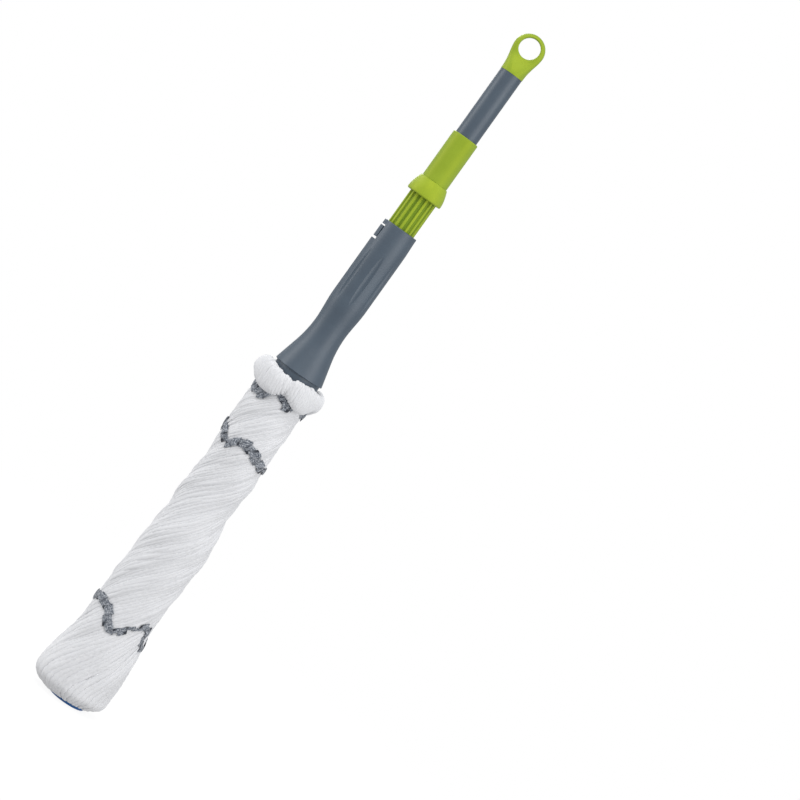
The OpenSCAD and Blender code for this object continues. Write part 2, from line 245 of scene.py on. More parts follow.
def bare_steel(name, tint, rough):
    """Zinc-plated or chromed steel, drawn along its length."""
    m = Nodes(name)
    drawn = m.noise(1.0, detail=6, rough=0.7, where=m.place((2500, 2500, 40)))
    cloud = m.noise(90, detail=3)
    m.colour(m.ramp(cloud, [(0.3, linear([c - 14 for c in tint])), (0.7, linear(tint))]))
    m.rough(m.span(drawn, *rough, 0.3, 0.7))
    m.normal(m.bump(drawn, 0.1, 0.01 * MM))
    m.set(Metallic=1.0)
    return m.material


def yarn_material():
    """Fluffy two-ply microfibre: fine fibres along each ply, soft and faintly blotched."""
    m = Nodes("white_yarn")
    fibre = m.noise(1.0, detail=4, rough=0.65, where=m.place((1, 1, 1), source="UV"))
    fluff = m.noise(900, detail=5, rough=0.7)
    blotch = m.noise(45, detail=4)
    base = m.ramp(blotch, [(0.3, linear((222, 222, 224))), (0.7, linear((229, 229, 231)))])
    base = m.mix(m.span(fibre, 0.25, 0.0, 0.3, 0.6), base, linear((197, 200, 207)))
    m.colour(base)
    m.rough(m.span(fluff, 0.8, 0.98))
    m.normal(m.bump(fluff, 0.3, 0.2 * MM, after=m.bump(fibre, 0.3, 0.2 * MM)))
    m.set(Specular_IOR_Level=0.15, Sheen_Weight=0.2, Sheen_Roughness=0.6)
    m.set(Subsurface_Weight=0.12, Subsurface_Scale=1.0 * MM, Subsurface_Radius=(1.0, 0.97, 0.93))
    return m.material


def tape_material():
    """Grey knitted tape: light threads through dark ones in an uneven weave, and painted shadow, near black,
    at its folds.
    """
    m = Nodes("grey_tape")
    uv = m.place((1, 1, 1), source="UV")
    knit = m.add("TexBrick", offset=0.5)
    knit.inputs["Color1"].default_value = linear((186, 190, 197))
    knit.inputs["Color2"].default_value = linear((92, 99, 110))
    knit.inputs["Mortar"].default_value = linear((62, 69, 80))
    knit.inputs["Scale"].default_value = 1.0
    knit.inputs["Mortar Size"].default_value = 0.14
    knit.inputs["Mortar Smooth"].default_value = 0.6
    knit.inputs["Brick Width"].default_value = 2.2
    knit.inputs["Row Height"].default_value = 1.0
    m.link(uv, knit.inputs["Vector"])
    speckle = m.noise(0.7, detail=3, rough=0.85, where=uv)
    dark = m.mix(m.span(speckle, 0.9, 0.0, 0.4, 0.5), knit.outputs["Color"], linear((70, 77, 89)))
    worn = m.mix(m.span(speckle, 0.0, 0.85, 0.52, 0.62), dark, linear((205, 208, 213)))
    # Painted shadow: the fold attribute darkens the ends of each length towards near black.
    fold = m.add("Attribute", attribute_name="fold")
    m.colour(m.mix(m.span(fold.outputs["Fac"], 0.0, 0.9), worn, linear((30, 34, 44))))
    m.rough(m.span(speckle, 0.75, 0.95))
    m.normal(m.bump(knit.outputs["Fac"], 0.6, -0.2 * MM, after=m.bump(speckle, 0.5, 0.3 * MM)))
    m.set(Specular_IOR_Level=0.2, Sheen_Weight=0.15, Sheen_Roughness=0.6)
    return m.material


SLATE = moulded("slate_plastic", (60, 74, 88), (66, 81, 95), rough=(0.42, 0.52), Specular_IOR_Level=0.8)
LIME_SHINE = {"Specular_IOR_Level": 0.6, "Specular_Tint": (1.0, 0.88, 0.05, 1)}
LIME = moulded("lime_plastic", (137, 161, 50), (144, 168, 56), rough=(0.4, 0.52), **LIME_SHINE)
# A lighter copy of lime, a painted highlight on the rib crests, with painted shade in its grooves.
RIBBED_LIME = moulded("ribbed_lime", (146, 168, 50), (153, 175, 56), rough=(0.4, 0.52),
                      groove_shade=(96, 130, 44), **LIME_SHINE)
BLUE = moulded("blue_plastic", (4, 76, 136), (8, 90, 158))
NYLON = moulded("white_nylon", (205, 205, 198), (222, 221, 214), rough=(0.45, 0.6))
PAINT = painted_steel("slate_steel", (58, 72, 86), (64, 79, 93))
ZINC = bare_steel("light_steel", (196, 201, 208), (0.22, 0.38))
SCREW = bare_steel("plain_steel", (176, 178, 180), (0.3, 0.5))
YARN = yarn_material()
TAPE = tape_material()

FINISH = {
    "slate_plastic": SLATE, "lime_plastic": LIME, "blue_plastic": BLUE, "white_plastic": NYLON,
    "slate_steel": PAINT, "light_steel": ZINC, "plain_steel": SCREW, "white_yarn": YARN, "grey_tape": TAPE,
}


def finish_cad_nodes():
    """Each CAD node that stays gets the material its record slot names."""
    for part in frame["record"]["subparts"]:
        mesh = frame["nodes"][part["node"]].data
        mesh.materials.clear()
        mesh.materials.append(FINISH[part["material_slot"]])


# ---- Mesh helpers ----


def make_piece(name, points, faces, material, uv=None):
    """A mesh object from points in millimetres. uv has one pair for each corner of each face."""
    mesh = bpy.data.meshes.new(name)
    mesh.from_pydata((np.asarray(points) * MM).tolist(), [], [list(map(int, f)) for f in faces])
    if uv is not None:
        layer = mesh.uv_layers.new(name="UVMap")
        layer.data.foreach_set("uv", np.asarray(uv, np.float32).ravel())
    mesh.materials.append(material)
    mesh.shade_smooth()
    piece = bpy.data.objects.new(name, mesh)
    bpy.context.scene.collection.objects.link(piece)
    return piece


def ease(t):
    t = np.clip(t, 0, 1)
    return t * t * (3 - 2 * t)


def wander(rng, count, knots, length):
    """count smooth random curves of about unit height, sampled at length places."""
    at = np.linspace(0, knots - 1, length)
    k = np.clip(at.astype(int), 0, knots - 2)
    share = ease(at - k)
    values = rng.normal(0, 1, (count, knots))
    return values[:, k] * (1 - share) + values[:, k + 1] * share


def unit(v):
    return v / np.maximum(np.linalg.norm(v, axis=-1, keepdims=True), 1e-9)


# How deep the groove between a cord's two plies is, as a share of the cord's size
PLY_DEPTH = 0.07
# The cords' UV: fibres for each side of a cord, their slant, and the steps along a cord and from cord to cord
FIBRES_PER_SIDE = 1.6
FIBRE_SLANT = 0.9
FIBRE_STEP = 0.35
CORD_OFFSET = 37.0


def sweep_cords(name, centre, outward, half_wide, half_thick, ply, sides, material):
    """One mesh of many closed cords, with every face turned outward.
    centre and outward are (cords, rings, 3). The half sizes are (cords, rings), and so is ply,
    which is how far the cord's two plies have turned."""
    cords, rings, _ = centre.shape
    along = unit(np.gradient(centre, axis=1))
    side = unit(np.cross(along, outward))
    up = np.cross(side, along)
    angle = np.arange(sides) * TAU / sides
    swell = 1 + PLY_DEPTH * np.cos(2 * (angle - ply[..., None]))
    points = (centre[:, :, None]
              + (half_wide[..., None] * swell * np.cos(angle))[..., None] * side[:, :, None]
              + (half_thick[..., None] * swell * np.sin(angle))[..., None] * up[:, :, None])
    index = np.arange(cords * rings * sides).reshape(cords, rings, sides)
    turned = np.roll(index, -1, axis=2)
    quads = np.stack([index[:, :-1], index[:, 1:], turned[:, 1:], turned[:, :-1]], -1).reshape(-1, 4)
    run = np.concatenate(
        [np.zeros((cords, 1)), np.cumsum(np.linalg.norm(np.diff(centre, axis=1), axis=2), axis=1)], 1)
    run = run + np.arange(cords)[:, None] * CORD_OFFSET
    fibres = FIBRES_PER_SIDE * sides
    shape = (cords, rings, sides + 1)
    u = np.broadcast_to(run[:, :, None] * FIBRE_STEP, shape)
    v = np.broadcast_to(np.arange(sides + 1) / sides * fibres, shape) + run[:, :, None] * FIBRE_SLANT
    corner = np.stack([u, v], -1)
    here, ahead = corner[:, :-1], corner[:, 1:]
    uv = np.stack([here[:, :, :-1], ahead[:, :, :-1], ahead[:, :, 1:], here[:, :, 1:]], 3).reshape(-1, 2)
    caps = [list(index[i, 0]) for i in range(cords)] + [list(index[i, -1][::-1]) for i in range(cords)]
    uv = np.concatenate([uv, np.zeros((2 * cords * sides, 2))])
    return make_piece(name, points.reshape(-1, 3), quads.tolist() + caps, material, uv)


def closed_ring(name, points, material, crease=40):
    """A closed ring of quads from (rows, sides, 3) points: rows and sides both join up.
    Points that meet are welded. Edges sharper than crease degrees stay crisp."""
    rows, sides, _ = points.shape
    index = np.arange(rows * sides).reshape(rows, sides)
    after = np.roll(index, -1, 0)
    quads = np.stack([index, np.roll(index, -1, 1), np.roll(after, -1, 1), after], -1).reshape(-1, 4)
    piece = make_piece(name, points.reshape(-1, 3), quads, material)
    bm = bmesh.new()
    bm.from_mesh(piece.data)
    bmesh.ops.remove_doubles(bm, verts=bm.verts, dist=0.001 * MM)
    bmesh.ops.recalc_face_normals(bm, faces=bm.faces)
    bm.to_mesh(piece.data)
    bm.free()
    piece.data.shade_smooth()
    piece.data.set_sharp_from_angle(angle=math.radians(crease))
    return piece


def around(radius, z, angle):
    """Points at each angle on circles of these radii and heights, as (rows, sides, 3)."""
    radius, z, angle = np.broadcast_arrays(radius, z, angle)
    return np.stack([radius * np.cos(angle), radius * np.sin(angle), z], -1)


def smooth_line(places, reach=12, period=None):
    """A smooth function near given (place, value) pairs, round a circle if it has a period."""
    at = np.arange(0.0, period) if period else np.arange(-20.0, 380.0)
    value = np.interp(at, *np.transpose(places), period=period)
    window = np.hanning(2 * reach + 1)
    padded = np.pad(value, reach, mode="wrap" if period else "edge")
    value = np.convolve(padded, window / window.sum(), "valid")
    return lambda where: np.interp(where, at, value, period=period)


# ---- Hanging cap ----

TUBE_END_Z = high("upper_tube")[2]
STEM_Z = low("hanging_cap")[2]
NECK_R = high("upper_tube")[0] + 0.3
RING_R = high("hanging_cap")[0]
RING_HALF = 4.5
RING_H = high("hanging_cap")[2] - RING_R - TUBE_END_Z
HOLE_R = 10
HOLE_Z = TUBE_END_Z + RING_H + 1.4
CAP_LIP = 1.2


def cap_half_width(h):
    """Half the cap's width at height h above the tube's end: a round neck that spreads into the ring."""
    return NECK_R + (RING_R - NECK_R) * ease((np.clip(h, 0, RING_H) / RING_H) ** 1.3)


def cap_half_depth(x, h):
    """Half the cap's depth: round at the foot of the neck, and a flat ring with rounded edges at the top."""
    beyond = np.maximum(h - RING_H, 0)
    share = np.clip(np.hypot(x, beyond) / cap_half_width(h), 0, 1)
    middle = NECK_R + (RING_HALF - NECK_R) * ease(h / (RING_H - 7))
    flatness = 2 + 4 * ease(h / (RING_H - 4))
    return middle * np.sqrt(1 - share ** flatness)


def cap_outline():
    """(x, h) points round the cap's edge.
    They run up the left side, over the ring, down the right side and along the foot."""
    rise = np.linspace(0, RING_H, 26)
    left = np.stack([-cap_half_width(rise), rise], 1)
    over = np.radians(np.linspace(180, 0, 62)[1:-1])
    top = np.stack([RING_R * np.cos(over), RING_H + RING_R * np.sin(over)], 1)
    right = left[::-1] * (-1, 1)
    foot = np.stack([np.linspace(NECK_R, -NECK_R, 24)[1:-1], np.zeros(22)], 1)
    return np.concatenate([left, top, right, foot])


def add_cap():
    outer = cap_outline()
    hole = np.array([0, HOLE_Z - TUBE_END_Z])
    out = unit(outer - hole)
    span = np.linalg.norm(outer - hole, axis=1)[:, None] - HOLE_R
    lip = CAP_LIP * (1 - np.cos(np.linspace(0, math.pi / 2, 6)))
    rest = np.sin(np.linspace(0, math.pi / 2, 18)[1:])
    run = np.concatenate([np.broadcast_to(lip, (len(outer), 6)), lip[-1] + (span - lip[-1]) * rest], 1)
    flat = hole + out[:, None] * (HOLE_R + run)[..., None]
    x, h = flat[..., 0], flat[..., 1]
    depth = cap_half_depth(x, h)
    inside = np.clip(CAP_LIP - run, 0, CAP_LIP)
    depth = depth - (CAP_LIP - np.sqrt(CAP_LIP ** 2 - inside ** 2)) * (run < CAP_LIP)
    front = np.stack([x, -depth, TUBE_END_Z + h], -1)
    back = front[:, ::-1] * (1, -1, 1)
    cap = closed_ring("hanging_ring", np.concatenate([front, back], 1), LIME)
    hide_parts("hanging_cap")
    stem_r = high("upper_tube")[0] - 0.6
    stem_bore = stem_r - 1.8
    stem = np.array([[stem_r, TUBE_END_Z + 0.5], [stem_r, STEM_Z],
                     [stem_bore, STEM_Z], [stem_bore, TUBE_END_Z]])
    sleeve = closed_ring("ring_stem", around(stem[:, :1], stem[:, 1:], TURN_96), LIME)
    for piece in (cap, sleeve):
        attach(piece, "upper")


# ---- Bell and ribs ----

RIB_COUNT = 15
RIB_TURN = math.radians(-92)


def add_collar():
    """The bell and the ribbed barrel of the ratchet, in one moulding."""
    foot, top, bell_r = low("ratchet_collar")[2], high("ratchet_collar")[2], high("ratchet_collar")[0]
    bell_len, edge, shoulder_r = 17.2, 1.4, 13.9
    bore_r, root_r, rib_r = 12.05, 12.35, 13.75
    under = top - bell_len
    corner = np.radians(np.linspace(-90, 0, 6))
    bend = np.stack([bell_r - edge + edge * np.cos(corner), under + edge + edge * np.sin(corner)], 1)
    t = np.linspace(1, 0.03, 14)[1:]
    dome = np.stack([shoulder_r + (bell_r - shoulder_r) * np.sin(0.5 * math.pi * t),
                     top - (bell_len - edge) * t], 1)
    rim = [(shoulder_r - 0.25, top - 0.2), (shoulder_r - 0.8, top - 0.3), (shoulder_r - 1.1, top)]
    barrel = [(root_r, foot), (rib_r - 0.3, foot + 0.2), (rib_r, foot + 1), (rib_r, under)]
    outline = np.concatenate([[(bore_r, foot)], barrel, bend, dome, rim, [(bore_r, top)]])
    ribbed = np.zeros((len(outline), 1))
    ribbed[2:5] = 1
    angle = np.arange(RIB_COUNT * 20) * TAU / (RIB_COUNT * 20)
    groove = ease(0.5 - 0.85 * np.cos(RIB_COUNT * (angle - RIB_TURN)))
    radius = outline[:, :1] - ribbed * groove * (outline[:, :1] - root_r)
    collar = closed_ring("ratchet_ribs", around(radius, outline[:, 1:], angle), RIBBED_LIME, crease=30)
    at = np.array([v.co for v in collar.data.vertices]) / MM
    across = np.hypot(at[:, 0], at[:, 1])
    # How deep each point sits in a groove, which sets how much painted shade it gets.
    sunk = np.clip((rib_r - across) / (rib_r - root_r), 0, 1) * (at[:, 2] < under + 0.1)
    collar.data.attributes.new("groove_shade", "FLOAT", "POINT").data.foreach_set("value", sunk.astype(np.float32))
    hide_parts("ratchet_collar")
    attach(collar, "pole")


# ---- Wrung yarn ----

FOOT_R = high("yarn_strands")[0]
LIFT = low("yarn_strands")[2]
TOP_R = 27.0
MID_R = 30.4
BULGE_Z, ANKLE_Z, CALF_Z, THIGH_Z = 20, 92, 170, 214
YARN_TOP_Z = 343.0
# The yarn's rounded lower edge, and where the cords leave the clamp
BASE_WIDE, BASE_TALL = 25.5, 15.0
CLAMP_R, CLAMP_Z = 16.6, 6.0
# Height, and the cords' lean from upright in degrees
TWIST = [(4, 4), (16, 16), (45, 30), (75, 37), (120, 41), (210, 44), (340, 47)]
# Height, and how far the middle of the bundle strays to the side
SWAY = [(0, -3.6), (22, -5.4), (34, -3.4), (54, -1.2), (76, -1.5), (97, -2.2), (135, -1.2), (167, -0.2),
        (196, 0.5), (216, -1.6), (232, -0.9), (254, 0.6), (275, -0.8), (300, -0.7), (318, -1.8), (334, -0.7),
        (343, -0.3)]
# Towards the camera and away, it strays by this share of the sway at a place this much higher
DEPTH_SWAY, DEPTH_SWAY_Z = 0.8, 33
# The lumps fade by this share, over this height, from this height up
LUMP_FADE, LUMP_FADE_TALL, LUMP_FADE_Z = 0.75, 14, 316
# How much the lower edge lifts, and on which side
HEM_LIFT, HEM_TURN = 1.5, math.radians(298)


def yarn_r(z):
    """Outer radius of the wrung yarn."""
    z = np.asarray(z, float)
    lower = FOOT_R + (MID_R - FOOT_R) * ease((z - BULGE_Z) / (ANKLE_Z - BULGE_Z))
    return lower + (TOP_R - MID_R) * ease((z - CALF_Z) / (THIGH_Z - CALF_Z))


TURN_HEIGHTS = np.arange(0.0, 360.0)
TURN_LEANS = np.radians(np.interp(TURN_HEIGHTS, *np.transpose(TWIST)))
TURN_TOTALS = np.cumsum(np.tan(TURN_LEANS) / yarn_r(TURN_HEIGHTS))
sway = smooth_line(SWAY)


def turn_at(z):
    """How far the twist has gone round at height z."""
    return np.interp(z, TURN_HEIGHTS, TURN_TOTALS)


def lumps(phase, z):
    """How far groups of cords stand proud or sink, in millimetres. phase is the angle a cord starts from."""
    return (0.45 * np.sin(3 * phase + z / 31 + 1.0) + 0.4 * np.sin(5 * phase - z / 23 + 2.2)
            + 0.3 * np.sin(2 * phase + z / 47) + 0.28 * np.sin(9 * phase + z / 17 + 0.6))


def yarn_place(angle, radius, z, hold=1.0):
    """A point of the bundle. hold is 0 where the clamp holds the yarn and 1 where it is free to stray.
    The bundle is nearly round at its top, where the upper tape turns on it."""
    even = 1 - LUMP_FADE * ease((z - LUMP_FADE_Z) / LUMP_FADE_TALL)
    radius = radius + hold * even * lumps(angle - turn_at(z), z)
    x = radius * np.cos(angle) + hold * sway(z)
    y = radius * np.sin(angle) + hold * DEPTH_SWAY * sway(z + DEPTH_SWAY_Z)
    return np.stack(np.broadcast_arrays(x, y, z), -1)


def yarn_meridian(depth, step):
    """(radius, height, turn, hold) along a cord whose middle lies depth below the yarn's surface."""
    swing = np.radians(np.arange(-54, 1, 6))
    base = np.stack([FOOT_R - BASE_WIDE + (BASE_WIDE - depth) * np.cos(swing),
                     LIFT + BASE_TALL + (BASE_TALL - depth) * np.sin(swing)], 1)
    rise = np.arange(LIFT + BASE_TALL + 3, YARN_TOP_Z + 0.1, 3.0)
    start = [[CLAMP_R, CLAMP_Z], [CLAMP_R + 2.0, CLAMP_Z], [CLAMP_R + 4.6, depth + 1.3],
             [CLAMP_R + 6.6, depth + 1.4]]
    line = np.concatenate([start, base, np.stack([yarn_r(rise) - depth, rise], 1)])
    run = np.concatenate([[0], np.cumsum(np.linalg.norm(np.diff(line, axis=0), axis=1))])
    fine = np.arange(0, run[-1], 0.5)
    r, z = (np.interp(fine, run, line[:, k]) for k in (0, 1))
    window = np.hanning(11)
    r, z = (np.convolve(np.pad(v, 5, mode="edge"), window / window.sum(), "valid") for v in (r, z))
    turned = turn_at(z)
    walked = np.sqrt(np.gradient(r) ** 2 + np.gradient(z) ** 2 + (r * np.gradient(turned)) ** 2)
    length = np.cumsum(walked)
    places = np.arange(length[0], length[-1], step)
    hold = ease(fine / 17)
    return [np.interp(places, length, v) for v in (r, z, turned, hold)]


def hem(angle, z):
    """The lower edge hangs a little higher on one side, where it shows the foot."""
    return HEM_LIFT * (0.5 + 0.5 * np.cos(angle - HEM_TURN)) ** 3 * ease((16 - z) / 10)


def yarn_cords():
    cords, step, depth, sides = 56, 1.3, 1.5, 8
    rng = np.random.default_rng(11)
    r, z, turned, hold = yarn_meridian(depth, step)
    rings = len(r)
    lean = np.arctan2(r * np.gradient(turned), np.hypot(np.gradient(r), np.gradient(z)))
    spacing = TAU * r * np.cos(lean) / cords
    stray = (wander(rng, cords, rings // 12 + 3, rings) * 0.16
             + wander(rng, cords, rings // 40 + 3, rings) * 0.25)
    angle = np.arange(cords)[:, None] * TAU / cords + turned + stray * spacing / r
    proud = wander(rng, cords, rings // 14 + 3, rings) * 0.24 * np.minimum(3 * hold, 1)
    height = z + hem(angle, z)
    centre = yarn_place(angle, r + proud, height, hold)
    slope = np.hypot(np.gradient(r), np.gradient(z))
    lie, rise = np.gradient(r) / slope, np.gradient(z) / slope
    outward = np.stack([np.cos(angle) * rise, np.sin(angle) * rise, np.broadcast_to(-lie, angle.shape)], -1)
    fat = 1 + wander(rng, cords, rings // 12 + 3, rings) * 0.05
    overlap = 0.7 + 0.26 * ease((z - 6) / 16)
    half_wide = np.clip(overlap * spacing, 0.9, 4.0) * fat
    half_thick = np.clip(0.55 * spacing, 1.0, 1.7) * fat
    ply = np.arange(rings) * step * TAU / 12 + rng.uniform(0, TAU, (cords, 1))
    return sweep_cords("yarn_cords", centre, unit(outward), half_wide, half_thick, ply, sides, YARN)


def yarn_core():
    """Fills the bundle behind its outer cords."""
    r, z, _, hold = yarn_meridian(2.6, 4.0)
    inner_r = 13.3
    r = np.concatenate([r, [inner_r, inner_r]])
    z = np.concatenate([z, [YARN_TOP_Z, CLAMP_Z]])
    hold = np.concatenate([hold, [0, 0]])
    z = z[:, None] + hem(TURN_96, z[:, None])
    return closed_ring("yarn_core", yarn_place(TURN_96, r[:, None], z, hold[:, None]), YARN)


def pack_down(piece):
    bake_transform(piece)


def add_yarn():
    outer = yarn_cords()
    for piece in (outer, yarn_core()):
        pack_down(piece)
    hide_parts("yarn_strands")


# ---- Roll of folded yarn under the rim ----

# Degrees round the pole, and the roll's outer radius, top and lower edge in millimetres
ROLL = [(12, 35.4, 359.5, 340), (32, 36.4, 361, 335.5), (48, 34.2, 357, 341.5), (66, 36.6, 361.5, 335),
        (98, 36.8, 361, 335), (118, 34.3, 357, 341.5), (138, 36.6, 361.5, 336), (160, 37.0, 360, 339),
        (180, 37.6, 361, 343), (192, 37.5, 361.6, 342.4), (205, 37.2, 363, 339.2), (222, 36.8, 362, 335.8),
        (240, 36.4, 359.6, 334.8), (256, 36.0, 358.4, 336), (266, 35.4, 357.8, 340.2),
        (274, 33.8, 357.6, 344.2), (281, 35.6, 361, 341), (291, 36.0, 360.8, 338), (306, 36.2, 361, 335),
        (322, 35.6, 360.4, 335.4), (334, 34.4, 359.2, 340), (347, 34.8, 358.8, 344)]
ROLL_MIDDLE_Z = 350.0


def add_roll():
    cords, rings, half = 88, 44, 1.6
    rng = np.random.default_rng(21)
    crown_at, top_at, foot_at = (smooth_line([(row[0], row[k]) for row in ROLL], 4, 360) for k in (1, 2, 3))
    t = np.linspace(0, 1, rings)
    swing = np.radians(np.interp(t, [0, 0.12, 0.5, 0.9, 1], [205, 150, 0, -140, -175]))
    start = np.arange(cords)[:, None] * TAU / cords
    angle = start + 0.10 * (t - 0.5) + wander(rng, cords, 5, rings) * 0.012
    degrees = np.degrees(angle)
    crown = crown_at(degrees) - half
    top = top_at(degrees) - half + rng.normal(0, 0.5, (cords, 1))
    foot = foot_at(degrees) + half
    inner = np.where(np.sin(swing) > 0, 24.2 + half, 25.5)
    middle_r = 0.5 * (crown + inner)
    cos, sin = np.cos(swing), np.sin(swing)
    radius = middle_r + (crown - middle_r) * np.sign(cos) * np.abs(cos) ** 0.93
    tall = np.where(sin > 0, top - ROLL_MIDDLE_Z, ROLL_MIDDLE_Z - foot)
    z = ROLL_MIDDLE_Z + tall * np.sign(sin) * np.abs(sin) ** 0.9
    radius = radius + wander(rng, cords, 7, rings) * 0.16
    centre = around(radius, z, angle)
    outward = unit(centre - around(middle_r, np.full_like(z, ROLL_MIDDLE_Z), angle))
    fat = 1 + wander(rng, cords, 9, rings) * 0.06
    half_wide = 0.95 * TAU * np.maximum(radius, 24) / cords * fat
    ply = t * 4 * TAU + rng.uniform(0, TAU, (cords, 1))
    roll = sweep_cords("yarn_roll_cords", centre, outward, half_wide, half * fat, ply, 10, YARN)
    heart = np.array([(22, 344), (27, 339.5), (31, 345), (31.5, 350), (29, 354), (22, 355)])
    core = closed_ring("yarn_roll_core", around(heart[:, :1], heart[:, 1:], TURN_96), YARN)
    for piece in (roll, core):
        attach(piece, "grip")
    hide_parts("yarn_roll")


# ---- Grey tapes ----

TAPE_WIDE = 7.8
TAPE_THICK = 0.8
# Each fold of a tape: degrees round the pole, height, and its share of the tape's full width
UPPER_FOLDS = [(182, 341, 1), (193, 337.5, 1), (204, 334.2, 1), (219, 331, 1), (234, 330.6, 1),
               (245, 333, 0.9), (254, 341, 0.7), (265, 342, 0.8), (275, 340.3, 0.85), (286, 337.6, 0.85),
               (291, 335, 1),
               (302, 335.6, 0.9), (309, 343, 0.8), (322, 344, 0.9), (336, 342, 0.8), (347, 335.5, 0.8),
               (0, 334.5, 0.9), (24, 339, 1), (50, 336, 1), (78, 332, 1), (104, 338, 1), (132, 332, 1),
               (158, 338, 1)]
MIDDLE_FOLDS = [(191, 291, 0.9), (204, 287, 0.95), (216, 282.8, 1), (228, 278.2, 0.4), (237, 277.5, 0.93),
                (247, 281.2, 0.93), (258, 285, 0.93), (266, 286, 1.12), (277, 286.5, 1.16),
                (289, 284.5, 1.18), (301, 281.5, 1.18), (314, 278.5, 1.12), (326, 275.8, 0.9),
                (337, 274.2, 0.5), (350, 272.8, 0.5),
                (8, 272.4, 0.7), (32, 275, 1), (52, 277, 1), (72, 271, 1), (94, 276, 1), (114, 283, 1),
                (134, 278, 1), (154, 283, 1), (174, 289, 1)]
LOWER_FOLDS = [(199, 98, 1.05), (212, 98, 1.05), (226, 97.6, 1.05), (241, 95.6, 1.1), (252, 90.5, 1.1),
               (260, 84.2, 1), (267, 80.6, 0.6), (275, 81.3, 0.5), (281, 84, 0.8), (291, 88.8, 0.35),
               (302, 92.4, 0.3), (313, 95.4, 0.75), (326, 98.8, 0.8), (332, 97.6, 0.75), (335, 91, 0.7),
               (341, 83, 0.5), (348, 79, 0.7), (8, 79, 0.9), (28, 86, 1), (48, 94, 1), (70, 87, 1),
               (92, 79, 1), (112, 86, 1), (132, 94, 1), (150, 93, 1), (168, 92, 1), (184, 95, 1)]
# The steepest that the ends of a length lie to its sides, in radians
TAPE_SKEW = 0.35


def tape_length(start, end, r, wide, level, shift, dark, rng, first_uv):
    """One folded length, from start to end (degrees, mm). Its ends run along the cords under it.
    Gives its points, faces, the UV pairs of each face's corners, and how much painted shadow each point gets
    at its fold."""
    rows, columns = 11, 8
    low_end = np.array([math.radians(start[0]) * r, start[1]])
    run = np.array([math.radians(end[0]) * r, end[1]]) - low_end
    length = np.linalg.norm(run)
    forward = run / length
    across = np.array([-forward[1], forward[0]])
    lean = math.radians(np.interp(start[1], *np.transpose(TWIST)))
    skew = math.atan2(math.sin(lean) * forward[0] + math.cos(lean) * forward[1],
                      math.sin(lean) * across[0] + math.cos(lean) * across[1])
    crease = across + forward * math.tan(np.clip(skew, -TAPE_SKEW, TAPE_SKEW))
    overlap = 0.9
    s = np.linspace(-overlap, length + overlap, rows)
    w = np.linspace(-0.5, 0.5, columns) * wide
    ragged = np.zeros((rows, columns))
    ragged[:, 0], ragged[:, -1] = rng.normal(0, 0.12, (2, rows))
    flat = (low_end + forward * s[:, None, None] + crease * (w + shift + ragged)[..., None])
    puff = 0.3 * (1 - (2 * w / wide) ** 2) + level - 0.2 + 0.12 * np.sin(1.7 * np.arange(rows))[:, None]
    sheets = [yarn_place(flat[..., 0] / r, yarn_r(flat[..., 1]) + puff + TAPE_THICK * side, flat[..., 1])
              for side in (1, 0)]
    near = np.minimum(s + overlap, length + overlap - s)
    # Painted shadow at each end: a dark spot on one side, as strong as dark says, and a thin dark line across
    # every end.
    end_shadow = np.where(s < length / 2, dark[0], dark[1])
    corner = (0.5 + 1.3 * (2 * w / wide * np.where(s < length / 2, 1, -1)[:, None])).clip(0, 1)
    reach = 1.4 if level > 0.3 else 2.2
    shadow_spot = (np.clip(2.0 - near / reach, 0, 1) * end_shadow)[:, None] * corner
    mark = np.maximum(shadow_spot, 0.6 * np.clip(1 - near / 1.0, 0, 1)[:, None])
    index = np.arange(2 * rows * columns).reshape(2, rows, columns)
    top, base = index
    faces = []
    for i in range(rows - 1):
        for j in range(columns - 1):
            faces.append([top[i, j], top[i + 1, j], top[i + 1, j + 1], top[i, j + 1]])
            faces.append([base[i, j], base[i, j + 1], base[i + 1, j + 1], base[i + 1, j]])
        faces.append([top[i, 0], base[i, 0], base[i + 1, 0], top[i + 1, 0]])
        faces.append([top[i, -1], top[i + 1, -1], base[i + 1, -1], base[i, -1]])
    for j in range(columns - 1):
        faces.append([top[0, j], top[0, j + 1], base[0, j + 1], base[0, j]])
        faces.append([top[-1, j], base[-1, j], base[-1, j + 1], top[-1, j + 1]])
    grid = np.stack(np.meshgrid(s + first_uv, w, indexing="ij"), -1).reshape(-1, 2)
    uv = grid[np.array(faces) % (rows * columns)]
    return np.concatenate([sheet.reshape(-1, 3) for sheet in sheets]), faces, uv, np.tile(mark.ravel(), 2)


def add_tape(name, node, rides, folds, seed):
    """A tape of short folded lengths wound once round the yarn, each a little out of line with the last.
    It rides the grip, or, if rides is the pole, has its transform baked in place like the yarn."""
    rng = np.random.default_rng(seed)
    points, faces, uv, marks = [], [], [], []
    count = 0
    for k, (turn, z, share) in enumerate(folds):
        after = folds[(k + 1) % len(folds)]
        end = (after[0] + (360 if after[0] < turn - 180 else 0), after[1])
        r = float(yarn_r(0.5 * (z + after[1])))
        shift = (0.8 if k % 2 else -0.8) + rng.normal(0, 0.3)
        # How strong the painted shadow is at each end of the length.
        dark = rng.choice([0, 0.5, 1.1], 2, p=[0.5, 0.2, 0.3])
        level = 0.5 if k % 2 else 0.15
        made = tape_length((turn, z), end, r, TAPE_WIDE * share, level, shift, dark, rng, 13.0 * k)
        points.append(made[0])
        faces += [[count + p for p in face] for face in made[1]]
        uv.append(made[2].reshape(-1, 2))
        marks.append(made[3])
        count += len(made[0])
    piece = make_piece(name, np.concatenate(points), faces, TAPE, np.concatenate(uv))
    # The painted shadow of every point.
    mark = piece.data.attributes.new("fold", "FLOAT", "POINT")
    mark.data.foreach_set("value", np.concatenate(marks).astype(np.float32))
    piece.data.set_sharp_from_angle(angle=math.radians(50))
    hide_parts(node)
    if rides == "grip":
        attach(piece, rides)
    else:
        pack_down(piece)


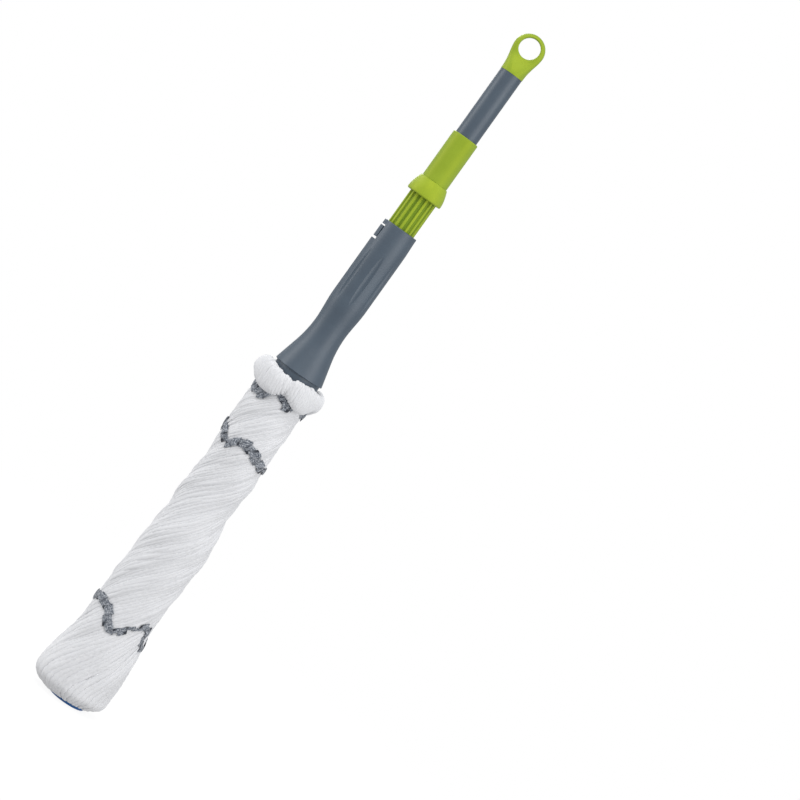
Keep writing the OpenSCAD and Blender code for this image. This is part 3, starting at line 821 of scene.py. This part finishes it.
def add_tapes():
    add_tape("upper_tape", "tape_upper", "grip", UPPER_FOLDS, 31)
    add_tape("middle_tape", "tape_middle", "pole", MIDDLE_FOLDS, 36)
    add_tape("lower_tape", "tape_lower", "pole", LOWER_FOLDS, 33)


# ---- Floor and lights ----


def add_floor():
    """A wide pale disc just under the foot, which fades out into the white surroundings."""
    bm = bmesh.new()
    bmesh.ops.create_circle(bm, cap_ends=True, segments=96, radius=1.6)
    mesh = bpy.data.meshes.new("floor")
    bm.to_mesh(mesh)
    bm.free()
    floor = bpy.data.objects.new("floor", mesh)
    floor.location.z = -0.3 * MM
    bpy.context.scene.collection.objects.link(floor)
    m = Nodes("pale_floor")
    away = m.add("VectorMath", operation="LENGTH")
    m.link(m.place(), away.inputs[0])
    m.link(m.span(away.outputs["Value"], 1.0, 0.0, 0.1, 1.0), m.shader.inputs["Alpha"])
    speckle = m.noise(30, detail=4)
    m.colour(m.ramp(speckle, [(0.3, linear((96, 96, 97))), (0.7, linear((104, 104, 104)))]))
    path = m.add("LightPath")
    m.link(m.span(path.outputs["Is Camera Ray"], 0.46, 0.9), m.shader.inputs["Emission Strength"])
    m.set(Roughness=1.0, Specular_IOR_Level=0.0, Emission_Color=(1, 1, 1, 1))
    mesh.materials.append(m.material)


POLE_MIDDLE = Vector((0, 0, 0.38))


def add_light(name, place, size, power):
    """A softbox that faces the middle of the pole."""
    data = bpy.data.lights.new(name, "AREA")
    data.shape = "RECTANGLE"
    data.size, data.size_y = size
    data.energy = power
    light = bpy.data.objects.new(name, data)
    light.location = place
    light.rotation_euler = (POLE_MIDDLE - Vector(place)).to_track_quat("-Z", "Y").to_euler()
    bpy.context.scene.collection.objects.link(light)


def add_surroundings():
    """White to the camera. As light, an even and slightly blue grey."""
    world = bpy.data.worlds.new("studio")
    bpy.context.scene.world = world
    world.use_nodes = True
    tree = world.node_tree
    tree.nodes.clear()
    out = tree.nodes.new("ShaderNodeOutputWorld")
    pick = tree.nodes.new("ShaderNodeMixShader")
    path = tree.nodes.new("ShaderNodeLightPath")
    seen = tree.nodes.new("ShaderNodeBackground")
    seen.inputs["Color"].default_value = (1, 1, 1, 1)
    seen.inputs["Strength"].default_value = 1.0
    glow = tree.nodes.new("ShaderNodeBackground")
    glow.inputs["Color"].default_value = (0.97, 0.985, 1, 1)
    glow.inputs["Strength"].default_value = 0.58
    tree.links.new(path.outputs["Is Camera Ray"], pick.inputs["Fac"])
    tree.links.new(glow.outputs["Background"], pick.inputs[1])
    tree.links.new(seen.outputs["Background"], pick.inputs[2])
    tree.links.new(pick.outputs["Shader"], out.inputs["Surface"])
    bpy.context.scene.view_settings.view_transform = "Standard"


def add_lights():
    add_surroundings()
    add_light("softbox_left", (-2.0, -0.25, 0.9), (1.0, 1.8), 14)
    add_light("softbox_right", (1.6, -1.2, 0.9), (1.6, 2.2), 20)
    add_light("softbox_top", (-0.2, -1.3, 2.2), (1.2, 1.2), 17)
    add_light("edge_light", (-1.5, 0.7, 1.7), (0.6, 0.6), 6)
    add_light("softbox_back", (-0.9, 1.9, 1.4), (0.9, 0.9), 12)


add_camera()
finish_cad_nodes()
add_cap()
add_collar()
add_yarn()
add_roll()
add_tapes()
add_floor()
add_lights()
